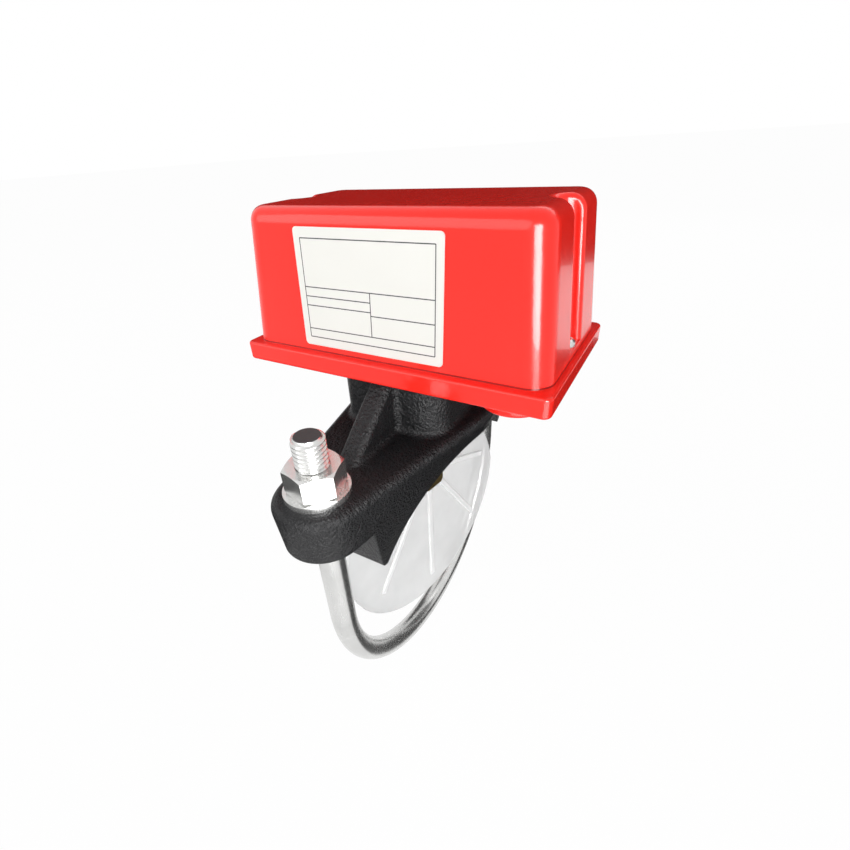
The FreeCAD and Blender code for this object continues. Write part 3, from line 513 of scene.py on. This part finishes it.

# Vane that hangs in the flow, with ribs that fan out from its hub.
# Thin moulded polyethylene, milky and translucent; the thicker ribs are more opaque, and their
# whiter colour is a painted highlight.
vane_turn = math.radians(-11.0)
vane_half = 0.0010
vane_plastic = Finish("milky_polyethylene")
across_vane = vane_plastic.node(
    "VectorMath",
    {"operation": "DOT_PRODUCT"},
    {0: vane_plastic.place, 1: (math.cos(vane_turn), math.sin(vane_turn), 0.0)},
    output="Value",
)
rib_opacity_and_highlight = abs(across_vane) > vane_half
milk = vane_plastic.noise(45.0, 2.0)
milk_colour = vane_plastic.blend(milk, (0.84, 0.85, 0.85), (0.90, 0.91, 0.91))
vane_plastic.surface(
    # Painted highlight: the ribs are coloured whiter than the rest of the vane.
    Base_Color=vane_plastic.blend(rib_opacity_and_highlight, milk_colour, (0.96, 0.97, 0.97)),
    Alpha=vane_plastic.between(milk, 0.60, 0.74) + rib_opacity_and_highlight * 0.2,
    Roughness=vane_plastic.between(vane_plastic.noise(600.0), 0.30, 0.46),
    Subsurface_Weight=0.3,
    Subsurface_Radius=(0.003, 0.003, 0.003),
    Subsurface_Scale=1.0,
)
vane_plastic.relief(vane_plastic.noise(240.0, 2.0), 0.0001, 0.3)
dress(vane_plastic, "vane")

# Base tray that carries the switch gear, the conduit hub under it and the cover over it.
# Die-cast metal in gloss red paint, with the slight orange peel that sprayed paint has.
# A thin band on the foot of the cover, in the seam where it meets the base, is painted darker:
# painted shade of the seam.
cover_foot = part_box("base")[1].z
seam_shade_from = 0.0001
seam_shade_to = 0.0009
red_paint = Finish("gloss_red_paint")
orange_peel = red_paint.noise(420.0, 2.0, 0.4)
paint_cloud = red_paint.noise(14.0, 2.0)
above_seam = red_paint.along("Z") - cover_foot
in_seam = (above_seam > seam_shade_from) * (above_seam < seam_shade_to)
# Painted shade: the seam band on the cover's foot is mixed towards a deep dark red.
painted_seam_shade = in_seam * red_paint.between(red_paint.noise(90.0), 0.6, 1.0)
paint_colour = red_paint.blend(paint_cloud, (0.90, 0.017, 0.009), (0.96, 0.022, 0.013))
red_paint.surface(
    Base_Color=red_paint.blend(painted_seam_shade, paint_colour, (0.16, 0.006, 0.004)),
    Roughness=red_paint.between(red_paint.noise(300.0), 0.18, 0.28),
    Specular_IOR_Level=0.25,
    Coat_Weight=0.32,
    Coat_Roughness=0.04,
)
red_paint.relief(orange_peel, 0.00008, 0.25)
dress(red_paint, "base", "conduit_hub", "cover")

# Plug in the spare conduit entry, and the black mouldings of the switches.
# Glass-filled nylon with a fine spark-eroded texture.
black_nylon = Finish("black_nylon")
nylon_grain = black_nylon.noise(1300.0, 3.0, 0.6)
black_nylon.surface(
    Base_Color=black_nylon.blend(nylon_grain, (0.016, 0.016, 0.017), (0.034, 0.034, 0.036)),
    Roughness=black_nylon.between(nylon_grain, 0.42, 0.60),
)
black_nylon.relief(nylon_grain, 0.00018, 0.4)
dress(black_nylon, "conduit_plug", "switch_body_a", "switch_body_b")
dress(black_nylon, "terminal_block_a", "terminal_block_b")

# Pneumatic retard: barrel and end cap.
# Charcoal phenolic moulding, half matt.
phenolic = Finish("charcoal_phenolic")
phenolic_fleck = phenolic.noise(800.0, 4.0, 0.7)
phenolic.surface(
    Base_Color=phenolic.blend(phenolic_fleck, (0.050, 0.050, 0.056), (0.105, 0.105, 0.115)),
    Roughness=phenolic.between(phenolic_fleck, 0.36, 0.52),
)
phenolic.relief(phenolic_fleck, 0.0001, 0.3)
dress(phenolic, "retard_body", "retard_cap")

# Setting dial of the retard, a fluted knob with a raised pointer.
# Acetal moulding with ten dark marks printed round its face.
dial_low, dial_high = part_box("retard_dial")
dial_x = (dial_low.x + dial_high.x) / 2
dial_marks = 10
mark_step = 2 * math.pi / dial_marks
mark_half = 0.00028
mark_inside = 0.0058
mark_outside = 0.0077
printed_acetal = Finish("printed_acetal")
from_x = printed_acetal.along("X") - dial_x
from_y = printed_acetal.along("Y")
dial_reach = from_x.maths("SQRT", from_x * from_x + from_y * from_y)
dial_turns = from_y.maths("ARCTAN2", from_y, from_x) * (1 / mark_step)
off_mark = abs(dial_turns.maths("FRACT", dial_turns + 0.5) - 0.5) * dial_reach * mark_step
dial_mark = (off_mark < mark_half) * (dial_reach > mark_inside) * (dial_reach < mark_outside)
dial_white = printed_acetal.blend(printed_acetal.noise(150.0), acetal_shade, acetal_white)
printed_acetal.surface(
    Base_Color=printed_acetal.blend(dial_mark, dial_white, (0.03, 0.03, 0.03)),
    Roughness=printed_acetal.between(printed_acetal.noise(1100.0), 0.32, 0.46),
)
dress(printed_acetal, "retard_dial")

# Brackets of the retard and the switches, and the trip yoke between them.
# Folded from sheet steel, with the same bright plate as the bolts.
dress(zinc, "retard_bracket", "switch_bracket", "trip_yoke")

# Return spring, retard spring and switch levers.
# Drawn spring wire and strip, darker than the plated parts.
# The return spring is coiled round a mandrel. The real one shortens as the stem's pad comes at
# its tab; this coil keeps its length on the housing.
spring_steel = Finish("spring_steel")
wire_marks = spring_steel.noise(1000.0, 2.0)
spring_steel.surface(
    Base_Color=spring_steel.blend(wire_marks, (0.34, 0.34, 0.35), (0.52, 0.52, 0.53)),
    Metallic=1.0,
    Roughness=spring_steel.between(wire_marks, 0.20, 0.38),
)
dress(spring_steel, "retard_spring", "switch_lever_a", "switch_lever_b")

coil_low, coil_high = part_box("return_spring")
coil_level = (coil_low.z + coil_high.z) / 2
coil_radius = 0.0036
coil_wire = 0.001
coil_turns = 6
wire_sides = 14
start_fresh()
bpy.ops.mesh.primitive_circle_add(
    vertices=wire_sides, radius=coil_wire / 2,
    location=(coil_radius, 0.0, 0.0), rotation=(math.radians(90), 0.0, 0.0),
)
coil = bpy.context.object
bpy.ops.object.transform_apply(location=True, rotation=True)
winding = coil.modifiers.new("winding", "SCREW")
winding.axis = "Z"
winding.angle = -2 * math.pi
winding.screw_offset = (coil_high.x - coil_low.x - coil_wire) / coil_turns
winding.iterations = coil_turns
winding.steps = turn_steps
winding.render_steps = turn_steps
bpy.ops.object.modifier_apply(modifier=winding.name)
bpy.ops.object.mode_set(mode="EDIT")
bpy.ops.mesh.select_all(action="SELECT")
bpy.ops.mesh.fill_holes(sides=0)
bpy.ops.object.mode_set(mode="OBJECT")
coil.matrix_basis = Matrix(
    (
        (0.0, 0.0, 1.0, coil_low.x + coil_wire / 2),
        (0.0, -1.0, 0.0, 0.0),
        (1.0, 0.0, 0.0, coil_level),
        (0.0, 0.0, 0.0, 1.0),
    )
)
settle(coil, "coiled_return_spring", spring_steel, "housing")
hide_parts("return_spring")
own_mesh(coil)

# Insulating board between the two switches.
# Pressed fibre, tan with short dark fibres, held by the screws that go through both switches.
fibre = Finish("pressed_fibre")
fibres = fibre.noise(1100.0, 4.0, stretch=(0.25, 1.0, 1.0))
fibre.surface(
    Base_Color=fibre.blend(fibres, (0.24, 0.17, 0.09), (0.52, 0.42, 0.27)),
    Roughness=fibre.between(fibres, 0.6, 0.85),
)
fibre.relief(fibres, 0.00015, 0.4)
dress(fibre, "insulating_barrier")

# Ground screw in the floor of the base, marked by its colour.
# Steel with green lacquer.
green_lacquer = Finish("green_lacquer")
green_cloud = green_lacquer.noise(300.0)
green_lacquer.surface(
    Base_Color=green_lacquer.blend(green_cloud, (0.02, 0.20, 0.05), (0.05, 0.34, 0.10)),
    Metallic=0.3,
    Roughness=green_lacquer.between(green_cloud, 0.28, 0.42),
)
dress(green_lacquer, "ground_screw")

# Small screws of the base, brackets, cover, retard, vane and terminals.
# Cold-headed and thread-rolled, each with a domed head and a sawn slot.
# Those of the terminals are brass; the places are in millimetres.
head_up = Matrix.Identity(4)
head_back = Matrix.Rotation(math.radians(-90), 4, "Y")
head_front = Matrix.Rotation(math.radians(90), 4, "X")
head_dome = ((0.5, 1.0), (0.72, 0.95), (0.9, 0.82), (1.0, 0.6))
screw_sides = 32
tray_floor = 42.5
bracket_top = 44.5
ledge_top = 50.5
terminal_top = 68.5
millimetre = 0.001


def slotted_screw(shank, length, head, height, pitch):
    """Screw of a shank and a head with their radii, its seat at the origin and its tip down."""
    core = shank - 0.35 * pitch
    start_fresh()
    bpy.ops.mesh.primitive_cylinder_add(
        vertices=screw_sides, radius=core, depth=length, location=(0.0, 0.0, -length / 2)
    )
    screw = bpy.context.object
    bpy.ops.object.transform_apply(location=True)
    bpy.ops.object.mode_set(mode="EDIT")
    bpy.ops.mesh.select_mode(type="VERT")
    select_verts(screw, lambda place: place.z > -1e-6)
    push(0.0)
    shrink_ring(core, head)
    level, radius = 0.0, head
    for height_share, width_share in head_dome:
        push((height_share - level) * height)
        shrink_ring(radius, width_share * head)
        level, radius = height_share, width_share * head
    start_fresh()
    bpy.ops.mesh.primitive_cube_add(size=1.0, location=(0.0, 0.0, height))
    saw = bpy.context.object
    saw.scale = (2.4 * head, 0.3 * head, 0.9 * height)
    bpy.ops.object.transform_apply(location=True, scale=True)
    start_fresh()
    screw.select_set(True)
    bpy.context.view_layer.objects.active = screw
    slot_cut = screw.modifiers.new("slot", "BOOLEAN")
    slot_cut.operation = "DIFFERENCE"
    slot_cut.object = saw
    bpy.ops.object.modifier_apply(modifier=slot_cut.name)
    bpy.data.objects.remove(saw)
    sink, plain_neck = 0.00005, 0.0002
    ridge = thread_ridge(core - sink, shank, pitch, pitch - length, -plain_neck, 0.0)
    return joined(screw, ridge)


def screw_set(screw, node, places, facing, finish, body, turn=0.0, slot_step=0.7):
    """Copies of a screw at their places, as one piece that stands for a CAD node."""
    copies = []
    for count, place in enumerate(places):
        copy = screw.copy()
        copy.data = screw.data.copy()
        bpy.context.scene.collection.objects.link(copy)
        seat = Matrix.Translation(Vector(place) * millimetre)
        slot_turn = Matrix.Rotation(slot_step * count, 4, "Z")
        copy.matrix_basis = Matrix.Rotation(turn, 4, "Z") @ seat @ facing @ slot_turn
        copies.append(copy)
    bpy.data.objects.remove(screw)
    screws = settle(joined(*copies), "slotted_" + node, finish, body)
    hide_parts(node)


screw_set(
    slotted_screw(shank=0.0029, length=0.0185, head=0.0050, height=0.0036, pitch=0.001),
    "base_screws",
    [(x, y, tray_floor) for x in (-18, 18) for y in (-23, 23)],
    head_up, zinc, "housing",
)
screw_set(
    slotted_screw(shank=0.0020, length=0.0065, head=0.0036, height=0.0026, pitch=0.0007),
    "bracket_screws",
    [(x, y * side, bracket_top) for x, y in ((34, 10), (-35.61, 24.5)) for side in (-1, 1)],
    head_up, zinc, "housing",
)
screw_set(
    slotted_screw(shank=0.0020, length=0.0105, head=0.0042, height=0.0032, pitch=0.0007),
    "cover_screws",
    [(x, 0, ledge_top) for x in (-70.5, 70.5)],
    head_up, zinc, "cover",
)
screw_set(
    slotted_screw(shank=0.0015, length=0.0065, head=0.0027, height=0.0018, pitch=0.0005),
    "retard_screws",
    [(16, y, z) for y in (-9, 9) for z in (69, 87)],
    head_back, steel, "housing",
)
screw_set(
    slotted_screw(shank=0.0020, length=0.0111, head=0.0038, height=0.0026, pitch=0.0007),
    "vane_screws",
    [(-3.8, 0, z) for z in (-41.5, -22.5)],
    head_back, steel, "vane", turn=vane_turn,
)
screw_set(
    slotted_screw(shank=0.0015, length=0.0060, head=0.0022, height=0.0018, pitch=0.0005),
    "terminal_screws",
    [(-53.61, y, terminal_top) for y in (-15.17, -9.5, -3.83, 3.83, 9.5, 15.17)],
    head_up, brass, "housing",
)

# Two long screws that clamp the switches to their bracket, each with a nut at its far end.
# Plain steel, headed like the others; the nut is cut from hexagon bar with its edges broken.
nut_across = 0.0055
nut_height = 0.0024
nut_level = -0.0412
broken_edge = 0.00025
switch_screw = slotted_screw(
    shank=0.0016, length=0.044, head=0.0030, height=0.0022, pitch=0.0005
)
start_fresh()
bpy.ops.mesh.primitive_cylinder_add(
    vertices=6, radius=nut_across / math.sqrt(3), depth=nut_height,
    location=(0.0, 0.0, nut_level), rotation=(0.0, 0.0, math.radians(90)),
)
switch_nut = bpy.context.object
bpy.ops.object.transform_apply(location=True, rotation=True)
bpy.ops.object.mode_set(mode="EDIT")
bpy.ops.mesh.select_all(action="SELECT")
bpy.ops.mesh.bevel(offset=broken_edge, segments=2)
bpy.ops.object.mode_set(mode="OBJECT")
screw_set(
    joined(switch_screw, switch_nut),
    "switch_screws",
    [(-41.615, -20, 78.5), (-29.6, -20, 64.5)],
    head_front, steel, "housing", slot_step=0.0,
)

# Label on the front of the cover.
# White film with a printed table of thin dark rules, its cells left bare.
# The rules are counted from the left and the foot of the label, in millimetres.
label_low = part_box("label_plate")[0]
rule_half = 0.22
table_left, table_middle, table_right = 3.5, 38.0, 68.5
table_foot, foot_row, head_row, table_top = 4.0, 8.0, 26.5, 46.5
film = Finish("printed_film")
from_left = (film.along("X") - label_low.x) * (1 / millimetre)
from_foot = (film.along("Z") - label_low.z) * (1 / millimetre)


def rule(across, place, running, start, end):
    """Thin line at a place on one axis of the label, from a start to an end on the other."""
    return (abs(across - place) < rule_half) * (running > start) * (running < end)


level_rules = [
    (table_foot, table_left, table_right),
    (foot_row, table_left, table_right),
    (17.0, table_middle, table_right),
    (18.5, table_left, table_middle),
    (22.5, table_left, table_middle),
    (head_row, table_left, table_right),
    (table_top, table_left, table_right),
]
upright_rules = [
    (table_left, table_foot, table_top),
    (table_middle, foot_row, head_row),
    (table_right, table_foot, table_top),
]
ink = sum(rule(from_foot, level, from_left, *ends) for level, *ends in level_rules)
ink = ink + sum(rule(from_left, place, from_foot, *ends) for place, *ends in upright_rules)
paper = film.blend(film.noise(30.0, 2.0), (0.68, 0.675, 0.64), (0.72, 0.715, 0.68))
film.surface(
    Base_Color=film.blend(film.between(ink, 0.0, 1.0), paper, (0.06, 0.06, 0.06)),
    Roughness=film.between(film.noise(500.0), 0.38, 0.50),
    Specular_IOR_Level=0.2,
)
dress(film, "label_plate")

# Floor and background of the studio.
# Plain white where they are seen; the floor keeps a soft shadow, and the sky lights weakly.
floor_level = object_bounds()[0].z - 0.001
white = (1.0, 1.0, 1.0)
floor_shown = 0.97
sky_strength = 0.35


def background_rays(nodes):
    """One for a ray from the camera, in a reflection or through a clear piece."""
    kinds = ("Is Camera Ray", "Is Glossy Ray", "Is Transmission Ray")
    seen, mirrored, passed = (nodes.node("LightPath", output=kind) for kind in kinds)
    return seen + mirrored + passed


start_fresh()
bpy.ops.mesh.primitive_plane_add(size=40.0, location=(0.0, 0.0, floor_level))
floor = bpy.context.object
floor.name = "studio_floor"
paper_sweep = Finish("studio_sweep")
paper_sweep.surface(Base_Color=(0.88, 0.88, 0.88), Roughness=0.9)
lit_paper = Value(paper_sweep.tree, paper_sweep.shader.outputs[0])
white_glow = paper_sweep.node("Emission", sockets={"Color": white, "Strength": 1.0})
glow_share = paper_sweep.between(background_rays(paper_sweep), 0.0, floor_shown)
floor_look = paper_sweep.node("MixShader", sockets={0: glow_share, 1: lit_paper, 2: white_glow})
paper_sweep.fill(paper_sweep.tree.nodes["Material Output"], {"Surface": floor_look})
floor.data.materials.append(paper_sweep.material)

world = bpy.data.worlds.new("studio")
bpy.context.scene.world = world
world.use_nodes = True
sky = Nodes(world.node_tree)
sky_light = world.node_tree.nodes["Background"]
sky.fill(sky_light, {"Color": white, "Strength": sky_strength})
lit_sky = Value(sky.tree, sky_light.outputs[0])
white_sky = sky.node("Background", sockets={"Color": white, "Strength": 1.0})
sky_look = sky.node("MixShader", sockets={0: background_rays(sky), 1: lit_sky, 2: white_sky})
sky.fill(world.node_tree.nodes["World Output"], {"Surface": sky_look})

# Studio lamps: a broad soft box in front, a tall strip to the right and a weak fill behind.
# Two panes show only in gloss, where they light up the rounded corners and the metal.
# One stands beside the strip, and one lies on the floor and looks up.
lit_point = Vector((0.0, 0.0, 0.03))


def soft_box(name, place, width, height, power):
    """Flat lamp that looks from its place at the middle of the detector."""
    lamp_data = bpy.data.lights.new(name, "AREA")
    lamp_data.shape = "RECTANGLE"
    lamp_data.size = width
    lamp_data.size_y = height
    lamp_data.energy = power
    lamp = bpy.data.objects.new(name, lamp_data)
    bpy.context.scene.collection.objects.link(lamp)
    lamp.location = place
    lamp.rotation_euler = (lit_point - Vector(place)).to_track_quat("-Z", "Y").to_euler()
    lamp.visible_camera = False
    return lamp


soft_box("front_box", (-0.6, -1.5, 0.95), 2.2, 1.4, 22.0)
soft_box("right_strip", (0.95, -0.95, 0.15), 0.42, 1.3, 13.0)
soft_box("back_fill", (0.4, 1.6, 0.9), 1.6, 1.2, 6.5)
gloss_pane = soft_box("gloss_pane", (0.9, -0.98, 0.12), 0.7, 1.2, 50.0)
floor_pane = soft_box("floor_pane", (0.60, -0.585, floor_level + 0.002), 1.1, 0.35, 6.5)
floor_pane.rotation_euler = (math.pi, 0.0, math.radians(-45))
for pane in (gloss_pane, floor_pane):
    pane.visible_diffuse = False

# Dark cards behind the object and beside it on the floor, out of the camera's sight.
# They show only in reflections.
# There they give the top of the box and the bright metal their dark side.
card_level = floor_level + 0.001
upright = (math.radians(90), 0.0, 0.0)
lying = (0.0, 0.0, 0.0)
card_black = Finish("card_black")
card_black.surface(Base_Color=(0.01, 0.01, 0.01), Roughness=1.0, Specular_IOR_Level=0.0)


def dark_card(name, place, turn, width, height):
    """Flat black card that lamps and shadows pass by."""
    start_fresh()
    bpy.ops.mesh.primitive_plane_add(size=1.0, location=place, rotation=turn)
    card = bpy.context.object
    card.name = name
    card.scale = (width, height, 1.0)
    card.data.materials.append(card_black.material)
    card.visible_camera = False
    card.visible_diffuse = False
    card.visible_shadow = False


dark_card("back_card", (-0.4, 1.0, 0.35), upright, 3.0, 0.9)
dark_card("left_card", (-0.38, -0.10, card_level), lying, 0.48, 0.40)
dark_card("right_card", (0.270, 0.26, card_level), lying, 0.5, 0.66)

# Camera where the photograph was taken from.
# Its place, turn, lens and shift are fitted to the box, the label and the U-bolt.
camera_data = bpy.data.cameras.new("view_camera")
camera_data.sensor_width = 36.0
camera_data.lens = 19.4593
camera_data.shift_x = 0.02413
camera_data.shift_y = 0.01258
camera_data.clip_start = 0.01
camera = bpy.data.objects.new("view_camera", camera_data)
bpy.context.scene.collection.objects.link(camera)
camera.location = (0.109936, -0.195166, 0.128517)
camera.rotation_euler = (math.radians(57.3778), math.radians(3.3402), math.radians(30.3915))
bpy.context.scene.camera = camera
bpy.context.scene.view_settings.view_transform = "Standard"
